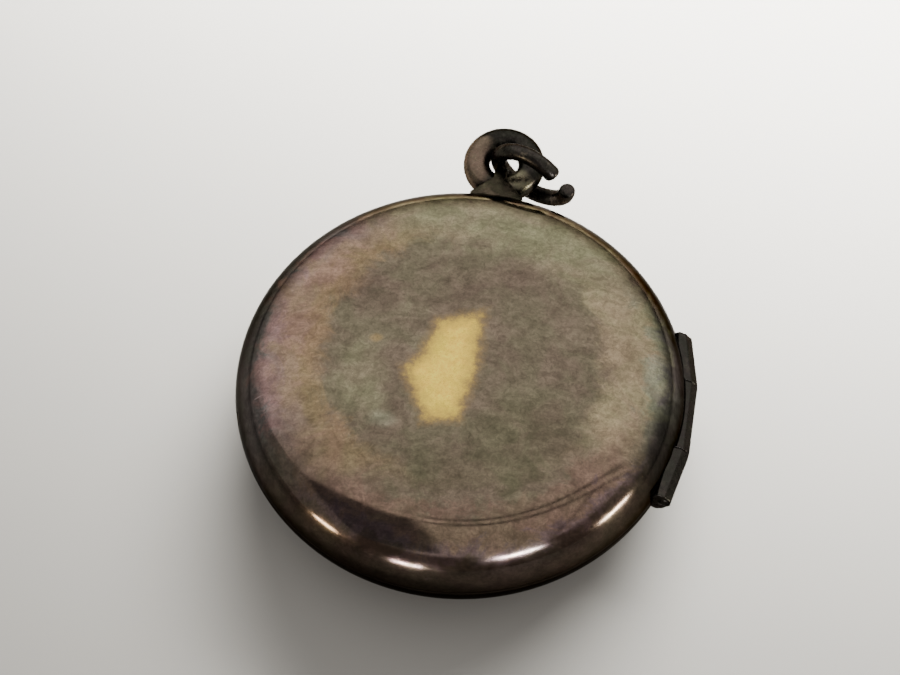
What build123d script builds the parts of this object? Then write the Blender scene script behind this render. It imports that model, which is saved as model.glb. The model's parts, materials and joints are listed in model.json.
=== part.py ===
"""Round silver photo locket: two hollow domed halves on a three-knuckle side hinge, with a pierced lug,
a thick bail ring and an open jump ring at the top, and a glazed photo seat inside each half.

Frame: millimetres, +Z up. The locket lies closed on its back; the origin is the centre of the small flat
in the back shell. +Y points to the lug (12 o'clock), +X to the hinge (3 o'clock).
"""

import os
from math import atan2, cos, degrees, radians, sin, sqrt, tan

from build123d import *

# ---- driving dimensions -------------------------------------------------------------------------
CASE_RADIUS = 15.0          # rim radius of both halves
SHELL = 0.45                # sheet thickness of the two domed shells
SHOULDER_RADIUS = 3.85      # rounded edge of each half, seen in section
DOME_SLOPE = 7.0            # degrees, where the shoulder runs into the gentle dome
BACK_FLAT_RADIUS = 5.0      # flat worn in the middle of the back, on which the locket rests
SEAM_BEVEL = 0.10           # broken edge along the seam of each shell

SEAT_RADIUS = 12.90         # bore of the rims, in which cards, photos and crystals lie
LEDGE_BORE = 12.0           # the ledge that the backing card rests on
DISC_PLAY = 0.05            # radial play of cards, photos and crystals in their seat
FRAME_BORE = 11.9           # opening of the retaining frames
FRAME_SPLIT = 0.4           # saw cut that lets a frame spring into its seat
FRAME_ROUND = 0.16          # rounded inner and outer edge of a frame's open face
CRYSTAL_BEVEL = 0.06
# bottom and top of each layer, in millimetres above the seam
BACK_STACK = {"ledge": (-1.75, -1.30), "card": (-1.30, -1.00), "photo": (-1.00, -0.85),
              "crystal": (-0.85, -0.45), "frame": (-0.45, -0.07)}
FRONT_STACK = {"frame": (0.72, 1.10), "crystal": (1.10, 1.50), "photo": (1.50, 1.65),
               "card": (1.65, 1.95), "ledge": (1.95, 2.40)}

COLLAR_INNER = 12.95        # snap collar let into the back rim
COLLAR_OUTER = 13.40
COLLAR_RISE = 0.60          # how far the collar stands above the seam
COLLAR_ROOT = 0.50          # how deep it is let into the rim
COLLAR_BEVEL = 0.12
COLLAR_GAP_ANGLE = 50.0     # degrees each side of the hinge where there is no collar
LID_CLEARANCE = 0.06        # play of the lid's rim around the collar

HINGE_X = 14.3              # pin axis, parallel to Y, at the height of the seam
HINGE_HALF = 6.25           # half the length of the hinge
MIDDLE_HALF = 2.55          # half the length of the middle knuckle
KNUCKLE_GAP = 0.05          # end play between knuckles
KNUCKLE_RADIUS = 1.03       # barrel around the pin
NOSE_X = 15.55              # outermost face of the middle knuckle
NOSE_END_X = 14.75          # outermost point at the outer ends of the hinge
NOSE_FACE_HALF = 0.28       # half height of the blunt outer face
NOSE_SLOPE_HALF = 0.80      # half height where the slopes above and below it end
NOSE_SLOPE_DEPTH = 0.45     # and how far inside the face that is
NOSE_SHOULDER = 0.15        # the full height ends this far outside the pin axis
PIN_RADIUS = 0.33
PIN_BEVEL = 0.08
PIN_PLAY = 0.03             # running clearance of the pin in the lid's knuckle
NOTCH_WALL_X = 13.25        # flat wall behind the other half's knuckles, which stops the opening lid
NOTCH_RADIUS = 1.36         # room for the nose of a knuckle as the lid turns
END_NOTCH_RADIUS = 1.16     # and beside the filed-down ends of the hinge

EYE_Y = 16.20               # centre of the lug's eye, along the lug's own axis
EYE_Z = 0.45                # and above the seam
EYE_WALL = 0.40             # thickness of the strap around the eye
SEAM_GAP = 0.03             # the lug hangs over the back shell with this much air
LUG_FOOT_DEPTH = 1.2        # how far inside the rim the foot starts
LUG_FOOT_LENGTH = 0.75      # straight part of the foot before it tapers to the crest
LUG_FOOT_RISE = 0.25        # the foot starts this much higher than the strap
LUG_UNDERCUT = 0.07         # air between the foot and the outside of the back shell
LUG_FOOT_HALF = 1.85        # half width where the lug meets the shell
LUG_CREST_HALF = 0.45       # half width of the strap inside the bail ring
LUG_CREST_START = 0.05      # the strap is that narrow from just before the eye's centre
EYE_FLARE_HALF = 0.62       # half width over which the eye opens to follow the curved ring

BAIL_RING_RADIUS = 1.95     # centre line of the bail ring
BAIL_WIRE_RADIUS = 0.93
EYE_PLAY = 0.06             # play of the bail ring's wire in the eye
BAIL_TILT = 6.0             # degrees above level, as the ring lies

JUMP_RING_RADIUS = 2.69     # centre line of the jump ring
JUMP_WIRE_RADIUS = 0.585
JUMP_ACROSS = 2.18          # its centre, across from the lug's axis
JUMP_OUT = 17.31            # outward along the lug's axis
JUMP_UP = 1.08              # and above the seam
JUMP_TURN = 18.7            # degrees, its plane is turned clockwise from the lug's
JUMP_LEAN = 9.3             # and leans this much from upright
JUMP_LOW_END = 1.4          # degrees above level, where the wire starts
JUMP_FLAT_ARC = 239.0       # degrees of wire that stay in one plane, going down and round
JUMP_TWIST_ARC = 78.0       # degrees of wire in the end that was twisted aside to open the ring
JUMP_TWIST = -9.0           # degrees between the two planes
JUMP_END_ROUND = 0.30

NICK_ANGLE = 200.0          # thumb-nail nick, degrees anticlockwise from the hinge
NICK_RADIUS = 0.62
NICK_HEIGHT = 0.25          # centre of the nick above the seam
# -------------------------------------------------------------------------------------------------

slope = radians(DOME_SLOPE)
shoulder_centre = CASE_RADIUS - SHOULDER_RADIUS
join_r = shoulder_centre + SHOULDER_RADIUS * sin(slope)     # shoulder meets dome here
join_z = SHOULDER_RADIUS * cos(slope)
BACK_DOME_RADIUS = (join_r - BACK_FLAT_RADIUS) / sin(slope)
SEAM_Z = join_z + BACK_DOME_RADIUS * (1 - cos(slope))       # seam plane above the resting flat

SEAM = Plane.XY.offset(SEAM_Z)
SECTION = Plane(origin=(0, 0, SEAM_Z), x_dir=(1, 0, 0), z_dir=(0, -1, 0))   # x = radius, y = height
AXIS = Axis((0, 0, SEAM_Z), (0, 0, 1))
PIN_AXIS = Axis((HINGE_X, 0, SEAM_Z), (0, 1, 0))


def finish(name, builder):
    """Label a finished piece and write it."""
    builder.part.label = name
    export_step(builder.part, f"parts/{name}.step")


def half_body(inset, flat_radius, facing):
    """Solid half locket, inset from the outside; facing is +1 for the front half, -1 for the back."""
    dome_radius = (join_r - flat_radius) / sin(slope) - inset
    shoulder = SHOULDER_RADIUS - inset
    start = (shoulder_centre + shoulder, 0)
    middle = (shoulder_centre + shoulder * cos(radians(45)), facing * shoulder * sin(radians(45)))
    join = (shoulder_centre + shoulder * sin(slope), facing * shoulder * cos(slope))
    top = shoulder * cos(slope) + dome_radius * (1 - cos(slope))
    middle_z = top - dome_radius * (1 - cos(slope / 2))
    dome_middle = (flat_radius + dome_radius * sin(slope / 2), facing * middle_z)
    with BuildPart() as body:
        with BuildSketch(SECTION):
            with BuildLine():
                ThreePointArc(start, middle, join)
                ThreePointArc(join, dome_middle, (flat_radius, facing * top))
                if flat_radius > 0:
                    Line((flat_radius, facing * top), (0, facing * top))
                Polyline((0, facing * top), (0, 0), start)
            make_face()
        revolve(axis=AXIS)
    return body.part


def ring(inner, outer, low, high):
    """Flat ring between two heights above the seam."""
    with BuildPart() as flat_ring:
        with BuildSketch(SEAM.offset(low)):
            Circle(outer)
            Circle(inner, mode=Mode.SUBTRACT)
        extrude(amount=high - low)
    return flat_ring.part


os.makedirs("parts", exist_ok=True)

back_solid = half_body(0, BACK_FLAT_RADIUS, -1)
front_solid = half_body(0, 0, 1)
back_hollow = half_body(SHELL, BACK_FLAT_RADIUS, -1)
front_hollow = half_body(SHELL, 0, 1)


# ---- hinge --------------------------------------------------------------------------------------
facet_angle = degrees(atan2(NOSE_X - NOSE_END_X, HINGE_HALF - MIDDLE_HALF))


def nose_prism(plane, length):
    """Everything on the case's side of a blunt three-sided nose, along the plane's normal both ways."""
    inside = -CASE_RADIUS / 3
    shoulder = HINGE_X - NOSE_X + NOSE_SHOULDER
    upper = [(inside, KNUCKLE_RADIUS), (shoulder, KNUCKLE_RADIUS), (-NOSE_SLOPE_DEPTH, NOSE_SLOPE_HALF),
             (0, NOSE_FACE_HALF)]
    lower = [(along, -height) for along, height in reversed(upper)]
    with BuildPart() as prism:
        with BuildSketch(plane):
            with BuildLine():
                Polyline(*upper, *lower, close=True)
            make_face()
        extrude(amount=length, both=True)
    return prism.part


def knuckle_blank(low_y, high_y, facet_turn):
    """Unbored knuckle between two stations along the pin, its nose a flat facet turned to follow the rim."""
    corner_y = 0 if facet_turn == 0 else (MIDDLE_HALF if facet_turn > 0 else -MIDDLE_HALF)
    turn = radians(facet_turn)
    facet_plane = Plane(origin=(NOSE_X, corner_y, SEAM_Z), x_dir=(cos(turn), sin(turn), 0),
                        z_dir=(sin(turn), -cos(turn), 0))
    with BuildPart() as blank:
        with BuildSketch(SECTION.offset(-low_y)):
            with Locations((HINGE_X, 0)):
                Circle(KNUCKLE_RADIUS)
            with Locations(((HINGE_X + NOSE_X) / 2, 0)):
                Rectangle(NOSE_X - HINGE_X, 2 * KNUCKLE_RADIUS)
        extrude(amount=-(high_y - low_y))
        add(nose_prism(facet_plane, 2 * HINGE_HALF), mode=Mode.INTERSECT)
    return blank.part


back_lower_blank = knuckle_blank(-HINGE_HALF, -MIDDLE_HALF - KNUCKLE_GAP, -facet_angle)
back_upper_blank = knuckle_blank(MIDDLE_HALF + KNUCKLE_GAP, HINGE_HALF, facet_angle)
front_blank = knuckle_blank(-MIDDLE_HALF, MIDDLE_HALF, 0)


def notch(stations):
    """Room for the other half's knuckle: a relief turned about the pin, with a flat wall behind it.

    stations are (distance along the pin, radius) pairs, in order.
    """
    first, last = stations[0][0], stations[-1][0]
    block = 3 * NOTCH_RADIUS
    pin_plane = Plane(origin=(HINGE_X, 0, SEAM_Z), x_dir=(0, 1, 0), z_dir=(0, 0, 1))    # x along the pin
    with BuildPart() as relief:
        with BuildSketch(pin_plane):
            with BuildLine():
                Polyline((first, 0), *[(along, -radius) for along, radius in stations], (last, 0), close=True)
            make_face()
        revolve(axis=PIN_AXIS)
        with Locations((NOTCH_WALL_X - block / 2, (first + last) / 2, SEAM_Z)):
            Box(block, last - first + 1, block, mode=Mode.SUBTRACT)
    return relief.part


zone = MIDDLE_HALF + KNUCKLE_GAP / 2
end_zone = HINGE_HALF + KNUCKLE_GAP
taper_end = MIDDLE_HALF + (NOTCH_RADIUS - END_NOTCH_RADIUS) / tan(radians(facet_angle))
middle_notch = notch([(-zone, NOTCH_RADIUS), (zone, NOTCH_RADIUS)])
end_notches = [
    notch([(-end_zone, END_NOTCH_RADIUS), (-taper_end, END_NOTCH_RADIUS), (-zone, NOTCH_RADIUS)]),
    notch([(zone, NOTCH_RADIUS), (taper_end, END_NOTCH_RADIUS), (end_zone, END_NOTCH_RADIUS)]),
]

with BuildPart() as hinge_pin:
    with BuildSketch(SECTION.offset(HINGE_HALF)):
        with Locations((HINGE_X, 0)):
            Circle(PIN_RADIUS)
    extrude(amount=-2 * HINGE_HALF)
    chamfer(hinge_pin.edges().filter_by(GeomType.CIRCLE), PIN_BEVEL)
finish("hinge_pin", hinge_pin)


def pin_bore(play):
    """The hole for the pin, right through the hinge."""
    with BuildPart() as bore:
        with BuildSketch(SECTION.offset(HINGE_HALF + 1)):
            with Locations((HINGE_X, 0)):
                Circle(PIN_RADIUS + play)
        extrude(amount=-2 * HINGE_HALF - 2)
    return bore.part


with BuildPart() as back_knuckle_lower:
    add(back_lower_blank)
    add(pin_bore(0), mode=Mode.SUBTRACT)
finish("back_knuckle_lower", back_knuckle_lower)

with BuildPart() as back_knuckle_upper:
    add(back_upper_blank)
    add(pin_bore(0), mode=Mode.SUBTRACT)
finish("back_knuckle_upper", back_knuckle_upper)

with BuildPart() as front_knuckle:
    add(front_blank)
    add(pin_bore(PIN_PLAY), mode=Mode.SUBTRACT)
finish("front_knuckle", front_knuckle)


# ---- shells -------------------------------------------------------------------------------------
def rim_edge(shell):
    """The outer edge of a shell at the seam."""
    circles = shell.edges().filter_by(GeomType.CIRCLE)
    return circles.filter_by(lambda edge: abs(edge.radius - CASE_RADIUS) < 0.001)


with BuildPart() as back_shell:
    add(back_solid)
    add(back_hollow, mode=Mode.SUBTRACT)
    chamfer(rim_edge(back_shell), SEAM_BEVEL)
    add(middle_notch, mode=Mode.SUBTRACT)
    add([back_lower_blank, back_upper_blank, pin_bore(0)], mode=Mode.SUBTRACT)
finish("back_shell", back_shell)

nick = radians(NICK_ANGLE)
nick_place = Plane(origin=(CASE_RADIUS * cos(nick), CASE_RADIUS * sin(nick), SEAM_Z))
with BuildPart() as front_shell:
    add(front_solid)
    add(front_hollow, mode=Mode.SUBTRACT)
    chamfer(rim_edge(front_shell), SEAM_BEVEL)
    add(end_notches, mode=Mode.SUBTRACT)
    add([front_blank, pin_bore(PIN_PLAY)], mode=Mode.SUBTRACT)
    with Locations(nick_place.offset(NICK_HEIGHT)):
        Sphere(NICK_RADIUS, mode=Mode.SUBTRACT)
finish("front_shell", front_shell)


# ---- rims, collar and the glazed photo seats ----------------------------------------------------
with BuildPart() as back_rim:
    add(ring(SEAT_RADIUS, CASE_RADIUS, BACK_STACK["ledge"][1], 0))
    add(ring(LEDGE_BORE, CASE_RADIUS, *BACK_STACK["ledge"]))
    add(back_hollow, mode=Mode.INTERSECT)
    add(ring(COLLAR_INNER, COLLAR_OUTER, -COLLAR_ROOT, 0), mode=Mode.SUBTRACT)
    add(middle_notch, mode=Mode.SUBTRACT)
    add([back_lower_blank, back_upper_blank, pin_bore(0)], mode=Mode.SUBTRACT)
finish("back_rim", back_rim)

with BuildPart() as front_rim:
    add(ring(COLLAR_OUTER + LID_CLEARANCE, CASE_RADIUS, 0, COLLAR_RISE + LID_CLEARANCE))
    add(ring(SEAT_RADIUS, CASE_RADIUS, COLLAR_RISE + LID_CLEARANCE, FRONT_STACK["ledge"][0]))
    add(ring(LEDGE_BORE, CASE_RADIUS, *FRONT_STACK["ledge"]))
    add(front_hollow, mode=Mode.INTERSECT)
    add(end_notches, mode=Mode.SUBTRACT)
    add([front_blank, pin_bore(PIN_PLAY)], mode=Mode.SUBTRACT)
finish("front_rim", front_rim)

with BuildPart() as snap_collar:
    add(ring(COLLAR_INNER, COLLAR_OUTER, -COLLAR_ROOT, COLLAR_RISE))
    chamfer(snap_collar.faces().sort_by(Axis.Z)[-1].edges(), COLLAR_BEVEL)
    with BuildSketch(SEAM):
        with BuildLine():
            reach = 2 * CASE_RADIUS
            far = (reach * cos(radians(COLLAR_GAP_ANGLE)), reach * sin(radians(COLLAR_GAP_ANGLE)))
            Polyline((0, 0), far, (far[0], -far[1]), close=True)
        make_face()
    extrude(amount=COLLAR_RISE, mode=Mode.SUBTRACT)
    add([back_lower_blank, back_upper_blank, middle_notch], mode=Mode.SUBTRACT)
finish("snap_collar", snap_collar)

for side, stack in (("back", BACK_STACK), ("front", FRONT_STACK)):
    for layer, sheet in (("card", "backing_card"), ("photo", "photo"), ("crystal", "crystal")):
        with BuildPart() as disc:
            with BuildSketch(SEAM.offset(stack[layer][0])):
                Circle(SEAT_RADIUS - DISC_PLAY)
            extrude(amount=stack[layer][1] - stack[layer][0])
            if layer == "crystal":
                chamfer(disc.edges(), CRYSTAL_BEVEL)
        finish(f"{side}_{sheet}", disc)

    with BuildPart() as frame:
        add(ring(FRAME_BORE, SEAT_RADIUS - DISC_PLAY, *stack["frame"]))
        open_face = frame.faces().sort_by(Axis.Z)[-1 if side == "back" else 0]
        fillet(open_face.edges(), FRAME_ROUND)
        with Locations((SEAT_RADIUS, 0, SEAM_Z + sum(stack["frame"]) / 2)):
            Box(SEAT_RADIUS - FRAME_BORE + 2, FRAME_SPLIT, 1, mode=Mode.SUBTRACT)
    finish(f"{side}_frame", frame)


# ---- lug ----------------------------------------------------------------------------------------
lug_across = Vector(1, 0, 0)
lug_out = Vector(0, 1, 0)
LUG_TOP_VIEW = Plane(origin=(0, 0, SEAM_Z), x_dir=lug_across, z_dir=(0, 0, 1))      # x across, y outward
LUG_SIDE_VIEW = Plane(origin=(0, 0, SEAM_Z), x_dir=lug_out, z_dir=lug_across)       # x outward, y up
eye_centre = LUG_SIDE_VIEW.from_local_coords((EYE_Y, EYE_Z, 0))
EYE_AXIS = Axis(eye_centre, lug_across)
EYE_RADIUS = BAIL_WIRE_RADIUS + EYE_PLAY
STRAP_RADIUS = EYE_RADIUS + EYE_WALL
foot_y = CASE_RADIUS - LUG_FOOT_DEPTH

with BuildPart() as bail_lug:
    with BuildSketch(LUG_SIDE_VIEW):
        with Locations((EYE_Y, EYE_Z)):
            Circle(STRAP_RADIUS)
        with BuildLine():
            Polyline((foot_y, SEAM_GAP), (EYE_Y, SEAM_GAP), (EYE_Y, EYE_Z + STRAP_RADIUS),
                     (foot_y, EYE_Z + STRAP_RADIUS + LUG_FOOT_RISE), close=True)
        make_face()
        with BuildLine():
            under = CASE_RADIUS + LUG_UNDERCUT
            Polyline((0, SEAM_GAP), (under, SEAM_GAP), (under, -SEAM_Z), (0, -SEAM_Z), close=True)
        make_face(mode=Mode.SUBTRACT)
    extrude(amount=LUG_FOOT_HALF, both=True)
    with BuildSketch(LUG_TOP_VIEW.offset(-SEAM_Z)):
        crest_y = EYE_Y - LUG_CREST_START
        tip_y = EYE_Y + STRAP_RADIUS
        with BuildLine():
            right_side = [(LUG_FOOT_HALF, 0), (LUG_FOOT_HALF, foot_y + LUG_FOOT_LENGTH),
                          (LUG_CREST_HALF, crest_y), (LUG_CREST_HALF, tip_y)]
            left_side = [(-across, along) for across, along in reversed(right_side)]
            Polyline(*right_side, *left_side, close=True)
        make_face()
    extrude(amount=2 * SEAM_Z, mode=Mode.INTERSECT)
    add(front_solid, mode=Mode.SUBTRACT)
    with BuildSketch(Plane(origin=eye_centre, x_dir=lug_across, z_dir=(0, 0, 1))):
        with BuildLine():
            flare = BAIL_RING_RADIUS - BAIL_WIRE_RADIUS - EYE_PLAY
            flare_r = BAIL_RING_RADIUS - sqrt(flare ** 2 - EYE_FLARE_HALF ** 2)
            left, right = (-EYE_FLARE_HALF, flare_r), (EYE_FLARE_HALF, flare_r)
            beyond = 2 * LUG_FOOT_HALF
            ThreePointArc(left, (0, EYE_RADIUS), right)
            Polyline(right, (beyond, flare_r), (beyond, 0), (-beyond, 0), (-beyond, flare_r), left)
        make_face()
    revolve(axis=EYE_AXIS, mode=Mode.SUBTRACT)
finish("bail_lug", bail_lug)


# ---- rings --------------------------------------------------------------------------------------
tilt = radians(BAIL_TILT)
bail_out = lug_out * cos(tilt) + Vector(0, 0, 1) * sin(tilt)
bail_centre = eye_centre + bail_out * BAIL_RING_RADIUS
bail_plane = Plane(origin=bail_centre, x_dir=lug_across, z_dir=lug_across.cross(bail_out))
with BuildPart() as bail_ring:
    with Locations(bail_plane):
        Torus(BAIL_RING_RADIUS, BAIL_WIRE_RADIUS)
finish("bail_ring", bail_ring)

jump_centre = LUG_TOP_VIEW.from_local_coords((JUMP_ACROSS, JUMP_OUT, JUMP_UP))
jump_level = Vector(cos(radians(JUMP_TURN)), -sin(radians(JUMP_TURN)), 0)
upward = Vector(0, 0, 1)
# drawn clockwise from the low end: x is level, y points down
jump_normal = jump_level.cross(-upward).rotate(Axis((0, 0, 0), jump_level), JUMP_LEAN)
jump_plane = Plane(origin=jump_centre, x_dir=jump_level, z_dir=jump_normal)
with BuildLine(jump_plane) as flat_arc:
    CenterArc((0, 0), JUMP_RING_RADIUS, -JUMP_LOW_END, JUMP_FLAT_ARC)
fold_point = flat_arc.line @ 1
fold = Axis(fold_point, flat_arc.line % 1)
twisted_centre = fold_point + (jump_centre - fold_point).rotate(Axis((0, 0, 0), fold.direction), JUMP_TWIST)
twisted_normal = jump_plane.z_dir.rotate(Axis((0, 0, 0), fold.direction), JUMP_TWIST)
twisted_plane = Plane(origin=twisted_centre, x_dir=fold_point - twisted_centre, z_dir=twisted_normal)
with BuildLine(twisted_plane) as twisted_arc:
    CenterArc((0, 0), JUMP_RING_RADIUS, 0, JUMP_TWIST_ARC)

with BuildPart() as jump_ring:
    for arc in (flat_arc, twisted_arc):
        with BuildSketch(Plane(origin=arc.line @ 0, z_dir=arc.line % 0)):
            Circle(JUMP_WIRE_RADIUS)
        sweep(path=arc.line)
    wire_ends = jump_ring.faces().filter_by(GeomType.PLANE)
    fillet(wire_ends.edges(), JUMP_END_ROUND)
finish("jump_ring", jump_ring)
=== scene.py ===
"""Looks of the silver photo locket: shells, rings, tarnish, paper, glass, floor, light and camera.

Lengths are written in millimetres and turned into metres by MM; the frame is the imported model's.
"""

import json
from math import asin, cos, pi, radians, sin, sqrt

import bmesh
import bpy
from mathutils import Matrix, Vector


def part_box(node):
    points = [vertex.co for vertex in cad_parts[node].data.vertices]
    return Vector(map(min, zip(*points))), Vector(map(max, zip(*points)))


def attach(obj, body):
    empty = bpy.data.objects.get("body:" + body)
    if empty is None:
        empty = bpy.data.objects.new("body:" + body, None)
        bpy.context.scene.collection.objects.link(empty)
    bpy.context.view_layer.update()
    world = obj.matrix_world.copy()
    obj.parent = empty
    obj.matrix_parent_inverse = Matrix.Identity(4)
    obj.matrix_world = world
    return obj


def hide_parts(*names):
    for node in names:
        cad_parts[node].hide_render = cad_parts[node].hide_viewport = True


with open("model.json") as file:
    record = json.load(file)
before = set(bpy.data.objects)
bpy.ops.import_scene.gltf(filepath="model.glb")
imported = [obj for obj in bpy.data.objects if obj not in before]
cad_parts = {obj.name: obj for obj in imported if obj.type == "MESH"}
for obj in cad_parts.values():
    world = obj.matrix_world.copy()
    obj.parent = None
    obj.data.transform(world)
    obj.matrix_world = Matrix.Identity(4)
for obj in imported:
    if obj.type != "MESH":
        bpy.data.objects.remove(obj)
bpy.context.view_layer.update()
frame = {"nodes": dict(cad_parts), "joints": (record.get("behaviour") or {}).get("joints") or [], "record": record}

MM = 0.001
nodes = frame["nodes"]
joints = {joint["name"]: joint for joint in frame["joints"]}
slots = {part["node"]: part["material_slot"] for part in frame["record"]["subparts"]}

# ---- dimensions, in millimetres -----------------------------------------------------------------
front_low, front_high = (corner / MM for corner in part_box("front_shell"))
CASE_RADIUS = front_high.y
SEAM_Z = front_low.z
SHELL = 0.45
SHOULDER_RADIUS = 3.85
DOME_SLOPE = radians(7.0)
BACK_FLAT_RADIUS = 5.0
EDGE_ROUND = 0.09
EDGE_STEP_IN = 0.03         # the one point between the edge's face and its outer side
EDGE_STEP_UP = 0.02
EDGE_ROUNDS = 6             # in which an edge's height settles, since its radius hangs on it
OUTSIDE_STEPS = 30          # along the shoulder, and again along the dome
INSIDE_STEPS = 14
FLAT_STEPS = 5

HINGE_X = joints["lid_hinge"]["pos_m"][0] / MM
MIDDLE_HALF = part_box("front_knuckle")[1].y / MM
HINGE_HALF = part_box("back_knuckle_upper")[1].y / MM
KNUCKLE_RADIUS = 1.03
NOTCH_RADIUS = 1.36
END_NOTCH_RADIUS = 1.16
NOTCH_TAPER = 0.925         # along the pin, from the middle knuckle to where the notch is narrow
KNUCKLE_GAP = 0.025         # half the play between two knuckles
HINGE_END_GAP = 0.05        # from the hinge's end to where the shell's edge is whole
KNUCKLE_BED = 0.08          # how far a shell's edge runs in under its own knuckle

NICK_ANGLE = radians(200.0)
NICK_RADIUS = 0.62
NICK_HEIGHT = 0.25

BAIL_RING_RADIUS = 1.95
BAIL_WIRE_RADIUS = 0.93
BAIL_TILT = radians(6.0)
BAIL_STEPS = 144
BAIL_SIDES = 56
JUMP_RING_RADIUS = 2.69
JUMP_WIRE_RADIUS = 0.585
JUMP_PLACE = (2.18, 17.31, 1.08)        # its centre: across, outward and up from the seam's centre
JUMP_TURN = radians(18.7)
JUMP_LEAN = radians(9.3)
JUMP_LOW_END = radians(1.4)
JUMP_FLAT_ARC = radians(239.0)
JUMP_TWIST_ARC = radians(78.0)
JUMP_TWIST = radians(-9.0)
JUMP_FLAT_STEPS = 120
JUMP_TWIST_STEPS = 40
WIRE_SIDES = 40
WIRE_CREASE = 60            # degrees
CAP_STEPS = 6
CAP_DEPTH = 0.62            # of the wire's radius, along which an open end is rounded over
CAP_TIP = 0.02              # of the wire's radius: the flat left at the tip

shoulder_centre = CASE_RADIUS - SHOULDER_RADIUS
join_r = shoulder_centre + SHOULDER_RADIUS * sin(DOME_SLOPE)


# ---- mesh helpers -------------------------------------------------------------------------------
def new_piece(name, vertices, faces, body, replaced, slot_of, crease=40):
    """A smooth-shaded piece, given in millimetres, that rides on a body and stands for a CAD node."""
    mesh = bpy.data.meshes.new(name)
    mesh.from_pydata([Vector(v) * MM for v in vertices], [], faces)
    mesh.update()
    builder = bmesh.new()
    builder.from_mesh(mesh)
    bmesh.ops.recalc_face_normals(builder, faces=builder.faces)
    builder.to_mesh(mesh)
    builder.free()
    mesh.shade_smooth()
    mesh.set_sharp_from_angle(angle=radians(crease))
    piece = bpy.data.objects.new(name, mesh)
    bpy.context.scene.collection.objects.link(piece)
    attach(piece, body)
    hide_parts(replaced)
    return piece


def softened_copy(name, node, body, voxel, rounds):
    """A copy of a CAD node with its edges worn round, by a remesh in voxels and rounds of smoothing."""
    mesh = nodes[node].data.copy()
    mesh.transform(Matrix.Scale(1 / MM, 4))
    piece = bpy.data.objects.new(name, mesh)
    bpy.context.scene.collection.objects.link(piece)
    remesh = piece.modifiers.new("remesh", "REMESH")
    remesh.mode = "VOXEL"
    remesh.voxel_size = voxel
    smooth = piece.modifiers.new("smooth", "SMOOTH")
    smooth.factor = 0.5
    smooth.iterations = rounds
    evaluated = piece.evaluated_get(bpy.context.evaluated_depsgraph_get())
    done = bpy.data.meshes.new_from_object(evaluated)
    piece.modifiers.clear()
    piece.data = done
    done.transform(Matrix.Scale(MM, 4))
    done.shade_smooth()
    done.materials.clear()
    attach(piece, body)
    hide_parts(node)
    return piece


# ---- shells -------------------------------------------------------------------------------------
def profile_radius(height):
    """Radius of a shell's outside at a height from the seam, on its rounded shoulder."""
    return shoulder_centre + sqrt(max(0.0, SHOULDER_RADIUS ** 2 - height ** 2))


def hinge_relief(along, is_back):
    """Radius about the pin at which a shell's edge runs, by the place along the pin; 0 past its end."""
    along = abs(along)
    if along > HINGE_HALF + HINGE_END_GAP:
        return 0.0
    middle = along < MIDDLE_HALF + KNUCKLE_GAP
    own_knuckle = middle != is_back
    if own_knuckle:
        return KNUCKLE_RADIUS - KNUCKLE_BED
    if middle:
        return NOTCH_RADIUS
    taper = min(1.0, (along - MIDDLE_HALF) / NOTCH_TAPER)
    return NOTCH_RADIUS + (END_NOTCH_RADIUS - NOTCH_RADIUS) * taper


def edge_height(angle, up):
    """Height off the seam at which a shell's edge runs: the seam, a hinge notch or the nail nick."""
    height = 0.0
    if cos(angle) > 0:
        for _ in range(EDGE_ROUNDS):
            radius = profile_radius(height)
            along, across = radius * sin(angle), radius * cos(angle) - HINGE_X
            relief = hinge_relief(CASE_RADIUS * sin(angle), is_back=(up < 0))
            height = sqrt(max(0.0, relief ** 2 - across ** 2))
    elif up > 0:
        aside = CASE_RADIUS * (angle - NICK_ANGLE)
        if abs(aside) < NICK_RADIUS:
            height = NICK_HEIGHT + sqrt(NICK_RADIUS ** 2 - aside ** 2)
    return height


def shell_column(angle, up, flat_radius):
    """Points of a shell's half section at an angle, outside and inside, each from edge to pole, and
    the heights of the two poles."""
    low = edge_height(angle, up)
    rounded = [(profile_radius(low) - EDGE_ROUND, low),
               (profile_radius(low) - EDGE_STEP_IN, low + EDGE_STEP_UP)]
    loops = []
    for inset, steps in ((0.0, OUTSIDE_STEPS), (SHELL, INSIDE_STEPS)):
        radius = SHOULDER_RADIUS - inset
        start = asin(min(1.0, (low + (EDGE_ROUND if inset == 0 else 0)) / radius))
        stop = pi / 2 - DOME_SLOPE
        arc = [start + (stop - start) * k / steps for k in range(steps + 1)]
        points = [(shoulder_centre + radius * cos(t), radius * sin(t)) for t in arc]
        dome_radius = (join_r - flat_radius) / sin(DOME_SLOPE) - inset
        dome_top = radius * cos(DOME_SLOPE) + dome_radius * (1 - cos(DOME_SLOPE))
        for k in range(1, steps):
            tilt = DOME_SLOPE * (1 - k / steps)
            points.append((flat_radius + dome_radius * sin(tilt),
                           dome_top - dome_radius * (1 - cos(tilt))))
        if flat_radius > 0:
            points += [(flat_radius * (1 - k / FLAT_STEPS), dome_top) for k in range(FLAT_STEPS)]
        loops.append((points, dome_top))
    (outside, outer_top), (inside, inner_top) = loops

    def turned(line):
        return [(r * cos(angle), r * sin(angle), SEAM_Z + up * z) for r, z in line]

    return turned(rounded + outside), turned(inside), outer_top, inner_top


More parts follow.
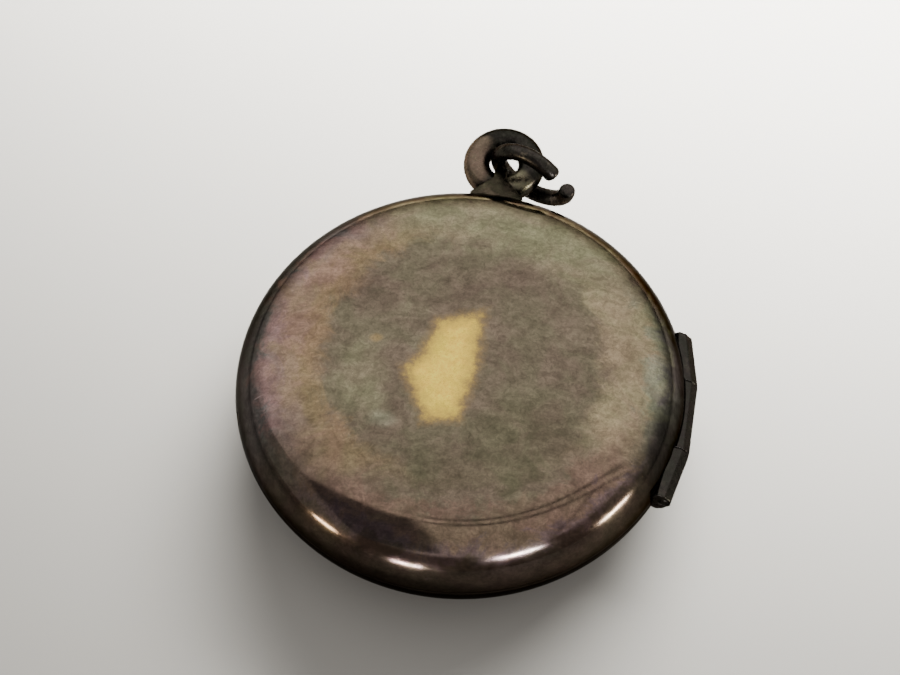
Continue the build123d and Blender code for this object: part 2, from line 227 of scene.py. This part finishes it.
def column_angles():
    """Angles of a shell's half sections: even all round, finer along the hinge and the nick, and a
    close pair wherever the edge steps up or down."""
    jog = 0.0001
    angles = [radians(a) for a in range(30, 330)]
    angles += [radians(a / 4) for a in range(-30 * 4, 30 * 4)]
    angles += [NICK_ANGLE + radians(a / 5) for a in range(-14, 15)]
    for along in (MIDDLE_HALF + KNUCKLE_GAP, HINGE_HALF + HINGE_END_GAP):
        turn = asin(along / CASE_RADIUS)
        angles += [side * turn + shift for side in (1, -1) for shift in (-jog, jog)]
    return sorted(set(angle % (2 * pi) for angle in angles))


def shell_piece(name, node, body, up, flat_radius):
    """A whole shell: outside, inside and the edge between them."""
    vertices, faces, columns = [], [], []
    for angle in column_angles():
        outside, inside, outer_top, inner_top = shell_column(angle, up, flat_radius)
        start = len(vertices)
        vertices += outside + inside
        columns.append((start, len(outside), len(inside)))
    pole_out = len(vertices)
    vertices.append((0, 0, SEAM_Z + up * outer_top))
    pole_in = len(vertices)
    vertices.append((0, 0, SEAM_Z + up * inner_top))
    for index, (start, outs, ins) in enumerate(columns):
        other = columns[(index + 1) % len(columns)][0]
        for k in range(outs - 1):
            faces.append((start + k, other + k, other + k + 1, start + k + 1))
        faces.append((start + outs - 1, other + outs - 1, pole_out))
        for k in range(outs, outs + ins - 1):
            faces.append((other + k, start + k, start + k + 1, other + k + 1))
        faces.append((other + outs + ins - 1, start + outs + ins - 1, pole_in))
        faces.append((start, start + outs, other + outs, other))
    return new_piece(name, vertices, faces, body, node, node)


front_shell = shell_piece("front_shell_skin", "front_shell", "front_half", 1, 0.0)
back_shell = shell_piece("back_shell_skin", "back_shell", "back_half", -1, BACK_FLAT_RADIUS)


# ---- rings --------------------------------------------------------------------------------------
def rounded_end(ring, depth, inward):
    """Sections that round over a wire's open end, from the tip in; inward is 1 or -1 along the wire."""
    place, along, across = ring
    sections = []
    for step in range(CAP_STEPS):
        t = step / CAP_STEPS
        share = sqrt(1 - (1 - t) ** 2) * (1 - CAP_TIP) + CAP_TIP
        sections.append((place + along * depth * t * t * inward, along, across, share))
    return sections


def tube(path, wire_radius, closed, around=WIRE_SIDES):
    """Vertices and faces of a round wire along points; open ends are rounded over."""
    count = len(path)
    vertices, faces, tangents, rings = [], [], [], []
    for k in range(count):
        before = path[(k - 1) % count] if closed or k > 0 else path[k]
        after = path[(k + 1) % count] if closed or k < count - 1 else path[k]
        tangents.append((after - before).normalized())
    side = tangents[0].orthogonal().normalized()
    for k in range(count):
        side = (side - tangents[k] * side.dot(tangents[k])).normalized()
        rings.append((path[k], tangents[k], side))
    if closed:
        sections = [(*ring, 1.0) for ring in rings]
    else:
        depth = CAP_DEPTH * wire_radius
        skip = max(1, int(depth / (path[1] - path[0]).length) + 1)
        sections = [(*ring, 1.0) for ring in rings[skip:-skip]]
        sections = (rounded_end(rings[0], depth, 1) + sections
                    + rounded_end(rings[-1], depth, -1)[::-1])
    for place, along, across, share in sections:
        third = along.cross(across)
        for a in range(around):
            turn = 2 * pi * a / around
            vertices.append(place + (across * cos(turn) + third * sin(turn)) * wire_radius * share)
    total = len(sections)
    for k in range(total if closed else total - 1):
        for a in range(around):
            here, there = k * around, ((k + 1) % total) * around
            faces.append((here + a, here + (a + 1) % around, there + (a + 1) % around, there + a))
    if not closed:
        faces.append(tuple(range(around)))
        faces.append(tuple(range((total - 1) * around, total * around)))
    return vertices, faces


UP = Vector((0, 0, 1))
lug_across = Vector((1, 0, 0))
lug_out = Vector((0, 1, 0))
eye = Vector(joints["bail_swing"]["pos_m"]) / MM
bail_out = lug_out * cos(BAIL_TILT) + UP * sin(BAIL_TILT)
bail_centre = eye + bail_out * BAIL_RING_RADIUS

bail_path = [bail_centre + (lug_across * cos(t) + bail_out * sin(t)) * BAIL_RING_RADIUS
             for t in (2 * pi * k / BAIL_STEPS for k in range(BAIL_STEPS))]
bail_ring = new_piece("bail_ring_wire", *tube(bail_path, BAIL_WIRE_RADIUS, True, BAIL_SIDES),
                      body="bail", replaced="bail_ring", slot_of="bail_ring", crease=WIRE_CREASE)

jump_centre = (Vector((0, 0, SEAM_Z)) + lug_across * JUMP_PLACE[0] + lug_out * JUMP_PLACE[1]
               + UP * JUMP_PLACE[2])
jump_level = Vector((cos(JUMP_TURN), -sin(JUMP_TURN), 0))
jump_normal = Matrix.Rotation(JUMP_LEAN, 3, jump_level) @ jump_level.cross(-UP)
jump_rise = jump_normal.cross(jump_level)
flat_path = [jump_centre + (jump_level * cos(t) + jump_rise * sin(t)) * JUMP_RING_RADIUS
             for t in (-JUMP_LOW_END + JUMP_FLAT_ARC * k / JUMP_FLAT_STEPS
                       for k in range(JUMP_FLAT_STEPS + 1))]
fold = Matrix.Rotation(JUMP_TWIST, 3, (flat_path[-1] - flat_path[-2]).normalized())
twisted_centre = flat_path[-1] + fold @ (jump_centre - flat_path[-1])
twisted_x = (flat_path[-1] - twisted_centre).normalized()
twisted_y = (fold @ jump_normal).cross(twisted_x)
twisted_path = [twisted_centre + (twisted_x * cos(t) + twisted_y * sin(t)) * JUMP_RING_RADIUS
                for t in (JUMP_TWIST_ARC * k / JUMP_TWIST_STEPS
                          for k in range(1, JUMP_TWIST_STEPS + 1))]
jump_ring = new_piece("jump_ring_wire", *tube(flat_path + twisted_path, JUMP_WIRE_RADIUS, False),
                      body="jump", replaced="jump_ring", slot_of="jump_ring", crease=WIRE_CREASE)

# ---- lug and knuckles ---------------------------------------------------------------------------
bail_lug = softened_copy("bail_lug_worn", "bail_lug", "front_half", voxel=0.045, rounds=5)
front_knuckle = softened_copy("front_knuckle_worn", "front_knuckle", "front_half", voxel=0.05, rounds=2)
back_knuckles = [softened_copy(node + "_worn", node, "back_half", voxel=0.05, rounds=2)
                 for node in ("back_knuckle_lower", "back_knuckle_upper")]
for node in nodes.values():              # the CAD pieces that stay in view
    if not node.hide_render:
        node.data.shade_smooth()


# ---- material building blocks -------------------------------------------------------------------
BAND_REACH = 16.0


class Graph:
    """A material's nodes, written as calls; coordinates are the object's own, in millimetres."""

    def __init__(self, name):
        self.material = bpy.data.materials.new(name)
        self.material.use_nodes = True
        self.tree = self.material.node_tree
        self.shader = self.tree.nodes["Principled BSDF"]
        place = self.tree.nodes.new("ShaderNodeTexCoord")
        self.point = self.vector("MULTIPLY", place.outputs["Object"], (1 / MM, 1 / MM, 1 / MM))

    def node(self, kind, **settings):
        made = self.tree.nodes.new(kind)
        for key, value in settings.items():
            setattr(made, key, value)
        return made

    def feed(self, socket, value):
        """Link a socket to another node's output, or set its own value."""
        if isinstance(value, bpy.types.NodeSocket):
            self.tree.links.new(value, socket)
        else:
            socket.default_value = value

    def math(self, operation, *values):
        made = self.node("ShaderNodeMath", operation=operation)
        for socket, value in zip(made.inputs, values):
            self.feed(socket, value)
        return made.outputs[0]

    def vector(self, operation, first, second=(0, 0, 0)):
        made = self.node("ShaderNodeVectorMath", operation=operation)
        self.feed(made.inputs[0], first)
        self.feed(made.inputs[1], second)
        return made.outputs["Value" if operation in ("LENGTH", "DOT_PRODUCT") else "Vector"]

    def noise(self, scale, detail=3.0, roughness=0.55, point=None, distortion=0.0):
        made = self.node("ShaderNodeTexNoise")
        self.feed(made.inputs["Vector"], point or self.point)
        made.inputs["Scale"].default_value = scale
        made.inputs["Detail"].default_value = detail
        made.inputs["Roughness"].default_value = roughness
        made.inputs["Distortion"].default_value = distortion
        return made.outputs["Fac"]

    def ramp(self, factor, *stops):
        """Numbers or colours at positions, joined smoothly."""
        made = self.node("ShaderNodeValToRGB")
        made.color_ramp.interpolation = "EASE"
        elements = made.color_ramp.elements
        while len(elements) < len(stops):
            elements.new(0.5)
        for element, (position, value) in zip(elements, stops):
            element.position = position
            shade = value if isinstance(value, tuple) else (value, value, value)
            element.color = (*shade, 1.0)
        self.feed(made.inputs[0], factor)
        return made.outputs[0]

    def mix(self, factor, first, second, blend="MIX"):
        made = self.node("ShaderNodeMix", data_type="RGBA", blend_type=blend)
        self.feed(made.inputs[0], factor)
        for socket, value in ((made.inputs[6], first), (made.inputs[7], second)):
            self.feed(socket, (*value, 1.0) if isinstance(value, tuple) else value)
        return made.outputs[2]

    def times(self, first, second):
        """Two colours, or a colour and a share, multiplied together."""
        return self.mix(1.0, first, second, "MULTIPLY")

    def swing(self, noise, span):
        """A noise turned into a distance, up to half the span either way."""
        return self.math("MULTIPLY", self.math("SUBTRACT", noise, 0.5), span)

    def bands(self, distance, *stops):
        """A ramp whose positions are distances in millimetres, from minus to plus BAND_REACH."""
        share = self.math("MULTIPLY_ADD", distance, 0.5 / BAND_REACH, 0.5)
        return self.ramp(share, *((0.5 + 0.5 * place / BAND_REACH, value) for place, value in stops))

    def lean(self, toward, low, high):
        """0 to 1 across the piece, going in a direction seen from above."""
        along = self.vector("DOT_PRODUCT", self.point, (*toward, 0))
        return self.bands(along, (low, 0.0), (high, 1.0))

    def patch(self, centre, radii, edge, ragged):
        """1 inside an ellipse seen from above, 0 outside, with a soft and ragged edge."""
        shifted = self.vector("SUBTRACT", self.point, (*centre, 0))
        out = self.vector("LENGTH", self.vector("MULTIPLY", shifted, (1 / radii[0], 1 / radii[1], 0)))
        out = self.math("ADD", out, self.swing(self.noise(0.7, 4.0), ragged))
        return self.ramp(out, (max(0.0, 1 - edge) * 0.5, 1.0), ((1 + edge) * 0.5, 0.0))

    def polygon(self, *corners):
        """Distance outside a convex outline seen from above, corners clockwise; negative inside."""
        farthest = None
        for first, second in zip(corners, corners[1:] + corners[:1]):
            edge = Vector(second) - Vector(first)
            normal = Vector((-edge.y, edge.x)).normalized()
            outside = self.math("SUBTRACT", self.vector("DOT_PRODUCT", self.point, (*normal, 0)),
                                normal.dot(Vector(first)))
            farthest = outside if farthest is None else self.math("MAXIMUM", farthest, outside)
        return farthest

    def radius(self):
        return self.vector("LENGTH", self.vector("MULTIPLY", self.point, (1, 1, 0)))

    def rings(self):
        """Coordinates that only change with the radius and the height, for turned marks."""
        made = self.node("ShaderNodeCombineXYZ")
        self.feed(made.inputs[0], self.radius())
        self.feed(made.inputs[1], self.vector("DOT_PRODUCT", self.point, (0, 0, 1)))
        return made.outputs[0]

    def bump(self, height, strength, distance):
        made = self.node("ShaderNodeBump")
        made.inputs["Strength"].default_value = strength
        made.inputs["Distance"].default_value = distance * MM
        self.feed(made.inputs["Height"], height)
        self.feed(self.shader.inputs["Normal"], made.outputs["Normal"])

    def set(self, **sockets):
        """Give the shader's sockets their values; an underscore stands for a space."""
        for name, value in sockets.items():
            self.feed(self.shader.inputs[name.replace("_", " ")], value)


def paint(piece, material):
    piece.data.materials.clear()
    piece.data.materials.append(material)


# ---- tarnished silver ---------------------------------------------------------------------------
TAUPE = (0.165, 0.136, 0.098)
UMBER = (0.142, 0.110, 0.084)
OLIVE = (0.130, 0.113, 0.076)
KHAKI = (0.215, 0.190, 0.122)
BEIGE = (0.330, 0.265, 0.165)
SAGE = (0.240, 0.220, 0.140)
PALE_GREEN = (0.235, 0.235, 0.165)
TAN = (0.250, 0.180, 0.108)
SAND = (0.285, 0.232, 0.148)
BROWN = (0.125, 0.092, 0.070)
ROSE = (0.185, 0.132, 0.098)
COPPER = (0.225, 0.160, 0.118)
PINK = (0.270, 0.185, 0.135)
MAUVE = (0.250, 0.170, 0.155)
VIOLET = (0.180, 0.132, 0.126)
SLATE = (0.150, 0.140, 0.132)
MAROON = (0.138, 0.106, 0.083)
DUSK = (0.062, 0.060, 0.052)
SOOT = (0.030, 0.028, 0.024)
BARE = (0.950, 0.680, 0.110)
GILT = (0.600, 0.420, 0.100)
RUST = (0.290, 0.200, 0.100)
FILM_TURN = radians(2.6)                # the bands of the film lie this much askew to the hinge
EDGE_TINT = (0.39, 0.38, 0.37, 1.0)     # the film keeps glancing reflections from turning white
BARE_TOP = ((1.25, 3.5), (1.35, -1.0), (0.9, -3.5), (-2.0, -3.6), (-2.7, 0.0), (-1.9, 2.5))
BARE_BOTTOM = ((1.35, -0.8), (0.6, -5.1), (-1.9, -5.4), (-2.6, -4.0), (-3.8, -1.5), (-1.5, 1.2),
               (0.6, 1.6))
FRONT_CLOUDS = (                        # centre, radii, softness of the edge, share, colour
    ((4.5, -4.8), (5.2, 4.2), 0.6, 0.8, OLIVE),
    ((2.5, 5.5), (6.0, 3.0), 0.7, 0.6, UMBER),
    ((-6.5, 4.6), (3.2, 3.4), 0.6, 0.5, UMBER),
    ((-6.2, -2.6), (2.8, 4.4), 0.7, 0.75, SAGE),
    ((-4.4, -5.4), (1.6, 1.0), 0.6, 0.6, PALE_GREEN),
    ((-5.6, 0.5), (0.7, 0.6), 0.6, 0.7, RUST),
    ((-10.5, -6.5), (2.4, 3.0), 0.7, 0.6, VIOLET),
    ((-8.8, -8.6), (6.0, 4.4), 0.8, 0.65, BROWN),
    ((-6.5, -8.2), (3.6, 2.0), 0.7, 0.5, TAN),
    ((9.8, -3.6), (1.6, 3.2), 0.7, 0.6, BEIGE),
    ((13.7, -4.4), (2.8, 5.6), 0.7, 0.85, DUSK),
)


def mottled(g, film, size, strength):
    """Colour with cloudy and fine-grained lighter and darker areas."""
    cloud = g.ramp(g.noise(0.5 / size, 5.0, 0.65, distortion=1.2),
                   (0.30, 1.0 - 0.6 * strength), (0.70, 1.0 + 0.6 * strength))
    grain = g.ramp(g.noise(3.0 / size, 6.0, 0.78, distortion=1.0),
                   (0.32, 1.0 - 0.8 * strength), (0.68, 1.0 + 0.8 * strength))
    hue = g.ramp(g.noise(0.35 / size, 3.0, 0.6, distortion=0.6),
                 (0.35, (0.97, 1.02, 0.97)), (0.65, (1.04, 0.98, 1.02)))
    return g.times(g.times(g.times(film, cloud), grain), hue)


def front_silver():
    """Front shell: taupe film in the middle, bands of tan, pink and violet, and a patch rubbed bare."""
    g = Graph("front_tarnish")
    turned = g.node("ShaderNodeVectorRotate", rotation_type="Z_AXIS")
    turned.inputs["Angle"].default_value = -FILM_TURN
    g.feed(turned.inputs["Vector"], g.point)
    g.point = turned.outputs[0]
    radius = g.radius()
    film = g.math("ADD", radius, g.swing(g.noise(0.38, 7.0, 0.72, distortion=0.9), 5.4))
    left = g.bands(film, (8.6, TAUPE), (9.9, TAN), (11.4, PINK), (12.8, MAUVE), (13.8, SLATE))
    right = g.bands(film, (8.8, TAUPE), (10.4, SAND), (12.0, SAND), (12.9, PALE_GREEN), (13.8, SLATE))
    lower = g.bands(film, (9.5, OLIVE), (10.6, TAUPE), (11.6, ROSE), (12.9, COPPER), (13.6, VIOLET),
                    (14.0, MAROON))
    upper = g.bands(film, (7.4, TAUPE), (9.2, SAGE), (11.8, SAGE), (12.9, KHAKI), (13.8, UMBER))
    colour = g.mix(g.lean((1, 0.15), -5.0, 4.0), left, right)
    colour = g.mix(g.lean((0.25, -1), 4.0, 10.0), colour, lower)
    colour = g.mix(g.lean((0.25, 1), 6.0, 11.0), colour, upper)
    for centre, radii, edge, amount, shade in FRONT_CLOUDS:
        colour = g.mix(g.math("MULTIPLY", g.patch(centre, radii, edge, 0.8), amount), colour, shade)
    drawn_out = g.vector("MULTIPLY", g.point, (0.45, 1.3, 1.0))
    streak = g.noise(1.1, 6.0, 0.75, point=drawn_out, distortion=0.7)
    colour = g.times(mottled(g, colour, 1.0, 0.30), g.ramp(streak, (0.34, 0.86), (0.66, 1.14)))
    bared = g.math("MINIMUM", g.polygon(*BARE_TOP), g.polygon(*BARE_BOTTOM))
    ragged = g.math("ADD", bared, g.swing(g.noise(1.6, 6.0, 0.75), 1.5))
    colour = g.mix(g.bands(ragged, (-0.55, 1.0), (0.45, 0.0)), colour, RUST)
    colour = g.mix(g.bands(ragged, (-0.70, 1.0), (-0.05, 0.0)), colour,
                   g.mix(g.bands(ragged, (-1.5, 1.0), (-0.2, 0.0)), GILT, mottled(g, BARE, 0.55, 0.22)))
    near_rim = g.bands(radius, (13.6, 1.0), (14.2, 0.95), (14.9, 0.75))
    far_rim = g.bands(radius, (13.0, 1.0), (13.7, 0.58), (14.4, 0.30), (14.9, 0.26))
    hinge_side = g.mix(g.lean((1, 0.15), 9.0, 13.0), (1, 1, 1),
                       g.bands(radius, (13.0, 1.0), (13.9, 0.60), (14.9, 0.45)))
    rim = g.mix(g.lean((-0.1, 1), -3.0, 6.0), near_rim, far_rim)
    colour = g.times(g.times(colour, rim), hinge_side)
    g.set(Base_Color=colour, Metallic=1.0, Specular_Tint=EDGE_TINT,
          Roughness=g.ramp(g.noise(0.8, 4.0), (0.3, 0.11), (0.7, 0.17)))
    g.bump(g.noise(2.2, 3.0), 0.10, 0.01)
    return g.material


def back_silver():
    """Back shell: brown and violet film, darker towards the seam, paler where the locket lies."""
    g = Graph("back_tarnish")
    radius = g.radius()
    film = g.math("ADD", radius, g.swing(g.noise(0.20, 4.0, 0.6), 6.0))
    colour = g.bands(film, (1.5, BEIGE), (4.5, TAUPE), (8.0, OLIVE), (10.2, TAN), (11.8, MAUVE),
                     (13.2, UMBER))
    colour = mottled(g, colour, 1.2, 0.25)
    colour = g.times(colour, g.bands(radius, (12.6, 1.0), (14.0, 0.5), (14.9, 0.33)))
    g.set(Base_Color=colour, Metallic=1.0, Specular_Tint=EDGE_TINT,
          Roughness=g.ramp(g.noise(0.8, 4.0), (0.3, 0.16), (0.7, 0.26)))
    g.bump(g.noise(2.2, 3.0), 0.10, 0.01)
    return g.material


def black_silver(name, dark, worn, wear, grain, contrast=0.45):
    """Nearly black sulphide on solid silver, rubbed brown-grey in places and finely pitted."""
    g = Graph(name)
    rubbed = g.ramp(g.noise(0.9, 4.0, 0.65), (0.62 - wear, 0.0), (0.78 - wear, 1.0))
    colour = mottled(g, g.mix(rubbed, dark, worn), 0.35, contrast)
    g.set(Base_Color=colour, Metallic=1.0, Specular_Tint=EDGE_TINT,
          Roughness=g.ramp(g.noise(2.5, 4.0), (0.3, 0.20), (0.7, 0.38)))
    g.bump(g.noise(grain, 4.0, 0.7), 0.30, 0.02)
    return g.material


def bail_silver():
    """Bail ring: black and pitted round the top, lighter brown-grey on the left (partly worn metal, partly a
    painted highlight), olive by the lug.
    """
    g = Graph("bail_tarnish")
    colour = mottled(g, SOOT, 0.35, 0.5)
    # Lighter brown-grey on the left of the ring: partly wear, partly a painted highlight.
    left = g.patch((bail_centre.x - 2.1, bail_centre.y - 0.6), (2.3, 3.6), 0.35, 0.9)
    colour = g.mix(left, colour, mottled(g, (0.165, 0.120, 0.092), 0.5, 0.35))
    low = g.patch((bail_centre.x + 0.9, bail_centre.y - 1.5), (2.2, 1.4), 0.4, 0.5)
    colour = g.mix(low, colour, mottled(g, (0.210, 0.190, 0.130), 0.5, 0.25))
    g.set(Base_Color=colour, Metallic=1.0, Specular_Tint=EDGE_TINT,
          Roughness=g.ramp(g.noise(3.0, 4.0), (0.3, 0.16), (0.7, 0.34)))
    g.bump(g.noise(3.8, 5.0, 0.75), 0.45, 0.03)
    return g.material


def inner_silver():
    """Silver kept from the air: pale and warm, with fine turning marks and a little film in places."""
    g = Graph("inner_silver")
    turned = g.noise(9.0, 2.0, point=g.rings())
    colour = g.mix(g.ramp(g.noise(0.6, 4.0), (0.40, 0.0), (0.75, 0.8)),
                   (0.62, 0.56, 0.46), (0.42, 0.32, 0.20))
    g.set(Base_Color=colour, Metallic=1.0, Roughness=g.ramp(turned, (0.2, 0.24), (0.8, 0.38)))
    g.bump(turned, 0.25, 0.01)
    return g.material


def photo_paper():
    """Plain faded sepia paper, browner towards its edge, with a few foxing spots."""
    g = Graph("faded_paper")
    yellowed = g.math("ADD", g.radius(), g.math("MULTIPLY", g.noise(0.35, 4.0), 5.0))
    colour = g.mix(g.bands(yellowed, (9.5, 0.0), (15.5, 1.0)),
                   (0.220, 0.148, 0.074), (0.120, 0.072, 0.032))
    foxing = g.ramp(g.noise(1.1, 2.0, 0.4), (0.66, 0.0), (0.74, 0.7))
    colour = mottled(g, g.mix(foxing, colour, (0.09, 0.048, 0.020)), 0.6, 0.08)
    g.set(Base_Color=colour, Roughness=0.75)
    g.bump(g.noise(6.0, 4.0, 0.7), 0.2, 0.02)
    return g.material


def card():
    """Uncoated grey-brown card with long fibres."""
    g = Graph("backing_card")
    fibre = g.noise(5.0, 5.0, 0.8, point=g.vector("MULTIPLY", g.point, (1.0, 0.2, 1.0)))
    g.set(Base_Color=g.ramp(fibre, (0.3, (0.20, 0.15, 0.095)), (0.7, (0.33, 0.26, 0.17))),
          Roughness=0.9)
    g.bump(fibre, 0.4, 0.03)
    return g.material


def crystal():
    """Clear, faintly yellowed glass with a trace of haze."""
    g = Graph("old_glass")
    g.set(Base_Color=g.ramp(g.noise(0.3), (0.3, (0.88, 0.86, 0.76)), (0.7, (0.95, 0.94, 0.88))),
          IOR=1.47, Roughness=0.03, Alpha=0.06)
    return g.material


ring_black = black_silver("black_ring", (0.048, 0.043, 0.038), (0.150, 0.125, 0.098),
                          wear=0.05, grain=3.5)
hinge_black = black_silver("black_hinge", (0.041, 0.038, 0.034), (0.058, 0.052, 0.045),
                           wear=0.10, grain=2.0, contrast=0.15)
paint(front_shell, front_silver())
paint(back_shell, back_silver())
paint(bail_ring, bail_silver())
paint(jump_ring, ring_black)
paint(bail_lug, black_silver("olive_lug", (0.044, 0.039, 0.027), (0.085, 0.072, 0.050),
                             wear=0.10, grain=3.0, contrast=0.25))
for piece in (front_knuckle, *back_knuckles, nodes["hinge_pin"]):
    paint(piece, hinge_black)
by_slot = {"inner_silver": inner_silver(), "photo_paper": photo_paper(), "backing_card": card(),
           "crystal": crystal()}
for name, node in nodes.items():
    if slots[name] in by_slot:
        paint(node, by_slot[slots[name]])


# ---- floor, light and camera --------------------------------------------------------------------
ROOM_TURN = radians(2.6)            # the room is set out this much askew to the locket
CAMERA_TURN = radians(9.9)
CAMERA_PITCH = radians(58.5)
CAMERA_DISTANCE = 133.4
CAMERA_LENS = 80.0
AIM_ASIDE = 0.00545                 # slopes from the camera's axis to the middle of the seam
AIM_BELOW = 0.02485
FLOOR_HALF = 1500
MIRRORED_FLOOR_Z = 0.02             # just over the floor, so that it takes no shadow from it
LAMP_DISTANCE = 400
SLAB_DISTANCE = 180
FIGURE_DISTANCE = 900
CEILING = 1200
CEILING_LINE_HALF = 0.03            # half width of a line on the ceiling, as a share of its height

right = Vector((cos(CAMERA_TURN), sin(CAMERA_TURN), 0))
ahead = Vector((-sin(CAMERA_TURN), cos(CAMERA_TURN), 0))
look = ahead * cos(CAMERA_PITCH) - UP * sin(CAMERA_PITCH)
above = right.cross(look)
camera = bpy.data.objects.new("camera", bpy.data.cameras.new("camera"))
camera.data.lens = CAMERA_LENS
camera.data.clip_start = 0.001
camera.data.clip_end = 10
seam_ray = look + right * AIM_ASIDE - above * AIM_BELOW
camera.location = (Vector((0, 0, SEAM_Z)) - seam_ray * CAMERA_DISTANCE) * MM
camera.rotation_euler = Matrix((right, above, -look)).transposed().to_euler()
bpy.context.scene.collection.objects.link(camera)
bpy.context.scene.camera = camera


def sheet_piece(name, corners, material):
    """A flat staged panel through its corners, in millimetres."""
    mesh = bpy.data.meshes.new(name)
    mesh.from_pydata([Vector(corner) * MM for corner in corners], [], [tuple(range(len(corners)))])
    panel = bpy.data.objects.new(name, mesh)
    bpy.context.scene.collection.objects.link(panel)
    paint(panel, material)
    return panel


floor_corners = [(x * FLOOR_HALF, y * FLOOR_HALF) for x, y in ((-1, -1), (1, -1), (1, 1), (-1, 1))]
floor_paint = Graph("floor_paint")
floor_paint.set(Base_Color=(0.250, 0.244, 0.230, 1), Roughness=0.7)
floor = sheet_piece("floor", [(x, y, 0) for x, y in floor_corners], floor_paint.material)
# The silver reflects a darker copy of the floor in its place, set up further down: painted shade.
floor.visible_glossy = False


def direction(azimuth, elevation):
    """Unit vector to a place round the locket, in degrees: azimuth from the near side to the right."""
    a, e = radians(azimuth) + ROOM_TURN, radians(elevation)
    return Vector((sin(a) * cos(e), -cos(a) * cos(e), sin(e)))


def area_light(name, azimuth, elevation, distance, width, height, watts, colour):
    """A flat rectangular lamp that faces the locket."""
    light = bpy.data.objects.new(name, bpy.data.lights.new(name, "AREA"))
    light.data.shape = "RECTANGLE"
    light.data.size, light.data.size_y = width * MM, height * MM
    light.data.energy = watts
    light.data.color = colour
    toward = direction(azimuth, elevation)
    light.location = toward * distance * MM
    light.rotation_euler = toward.to_track_quat("Z", "Y").to_euler()
    bpy.context.scene.collection.objects.link(light)
    return light


for name, azimuth, elevation, width, height, watts, colour in (
        ("lamp_left", -48, 6, 62, 18, 0.26, (1.0, 0.82, 0.58)),
        ("lamp_near_left", -13, 2, 66, 20, 0.36, (1.0, 0.90, 0.88)),
        ("lamp_near_right", 30, 21, 110, 16, 0.50, (0.96, 0.97, 1.0)),
        ("lamp_right", 71, 5, 90, 20, 0.55, (1.0, 0.93, 0.80))):
    area_light(name, azimuth, elevation, LAMP_DISTANCE, width, height, watts, colour)
softbox = area_light("softbox", azimuth=168, elevation=32, distance=98, width=130, height=55,
                     watts=0.85, colour=(1.0, 0.98, 0.94))
softbox.data.spread = radians(90)
softbox_aim = Vector((8, 55, 0)) * MM
softbox.rotation_euler = (softbox.location - softbox_aim).to_track_quat("Z", "Y").to_euler()
softbox.visible_glossy = False
softbox.visible_camera = False

# Sheets that glow faintly instead of being lit, seen only in the silver: stand-ins for the dark phone, the dim
# figure behind it and the lines on the ceiling, painted reflections.
dark, dim = Graph("dark_glow_sheet"), Graph("dim_glow_sheet")
for glow_graph, glow in ((dark, (0.11, 0.11, 0.12, 1)), (dim, (0.36, 0.36, 0.33, 1))):
    glow_graph.set(Base_Color=(0.02, 0.02, 0.02, 1), Roughness=0.8, Emission_Color=glow,
                    Emission_Strength=1.0)


def mirrored_only(piece):
    """Seen only in the polished silver."""
    for ray in ("camera", "diffuse", "transmission", "volume_scatter", "shadow"):
        setattr(piece, "visible_" + ray, False)


# A copy of the floor, about a third as bright, that the silver reflects in the floor's place: painted shade in the
# floor's reflection.
shaded_floor_copy = Graph("mirrored_floor_painted_shade")
shaded_floor_copy.set(Base_Color=(0.080, 0.077, 0.071, 1), Roughness=0.7)
mirrored_only(sheet_piece("mirrored_floor", [(x, y, MIRRORED_FLOOR_Z) for x, y in floor_corners],
                          shaded_floor_copy.material))
# The phone, the figure behind it and the ceiling lines as glowing sheets seen only in the silver: painted
# reflections.
slab = [(-72, 43), (-71, 82), (-1, 33), (-36, 23)]
mirrored_only(sheet_piece("dark_slab", [direction(*corner) * SLAB_DISTANCE for corner in slab],
                          dark.material))
figure = [(-112, 6), (-95, 26), (-86, 37), (-71, 47), (-50, 34), (-36, 23), (-40, 4)]
mirrored_only(sheet_piece("dark_figure", [direction(*corner) * FIGURE_DISTANCE for corner in figure],
                          dim.material))
room_turned = Matrix.Rotation(ROOM_TURN, 3, "Z")
for name, first, second in (("ceiling_line_a", (-0.1, 0.13), (2.0, 0.13)),
                            ("ceiling_line_b", (-0.1, -0.03), (2.0, -0.03)),
                            ("ceiling_line_c", (0.65, 0.0), (1.3, -1.25))):
    run = Vector((second[0] - first[0], second[1] - first[1], 0)).normalized()
    half = room_turned @ Vector((-run.y, run.x, 0)) * CEILING_LINE_HALF * CEILING
    ends = [room_turned @ Vector((x, y, 1)) * CEILING for x, y in (first, second)]
    mirrored_only(sheet_piece(name, [ends[0] - half, ends[1] - half, ends[1] + half, ends[0] + half],
                              dark.material))

NEAR_FAR = 0.45                     # depth of the change between the near and the far end of the room
world = bpy.data.worlds.new("room")
world.use_nodes = True
bpy.context.scene.world = world
tree = world.node_tree
sky = tree.nodes["Background"]
heading = tree.nodes.new("ShaderNodeTexCoord")
heading_parts = tree.nodes.new("ShaderNodeSeparateXYZ")


def room_levels(low, high, lower, upper):
    """Colour of the room by the height of the direction, changing between two heights."""
    levels = tree.nodes.new("ShaderNodeValToRGB")
    for element, place, shade in zip(levels.color_ramp.elements, (low, high), (lower, upper)):
        element.position = place
        element.color = (*shade, 1)
    tree.links.new(heading_parts.outputs["Z"], levels.inputs[0])
    return levels.outputs[0]


tree.links.new(heading.outputs["Generated"], heading_parts.inputs[0])
near_far = tree.nodes.new("ShaderNodeMapRange")
near_far.inputs["From Min"].default_value = -NEAR_FAR
near_far.inputs["From Max"].default_value = NEAR_FAR
tree.links.new(heading_parts.outputs["Y"], near_far.inputs["Value"])
room = tree.nodes.new("ShaderNodeMix")
room.data_type = "RGBA"
tree.links.new(near_far.outputs[0], room.inputs[0])
tree.links.new(room_levels(0.44, 0.50, (0.17, 0.145, 0.13), (0.66, 0.63, 0.60)), room.inputs[6])
tree.links.new(room_levels(0.10, 0.55, (0.52, 0.50, 0.46), (1.18, 1.15, 1.10)), room.inputs[7])
tree.links.new(room.outputs[2], sky.inputs["Color"])
sky.inputs["Strength"].default_value = 1.0
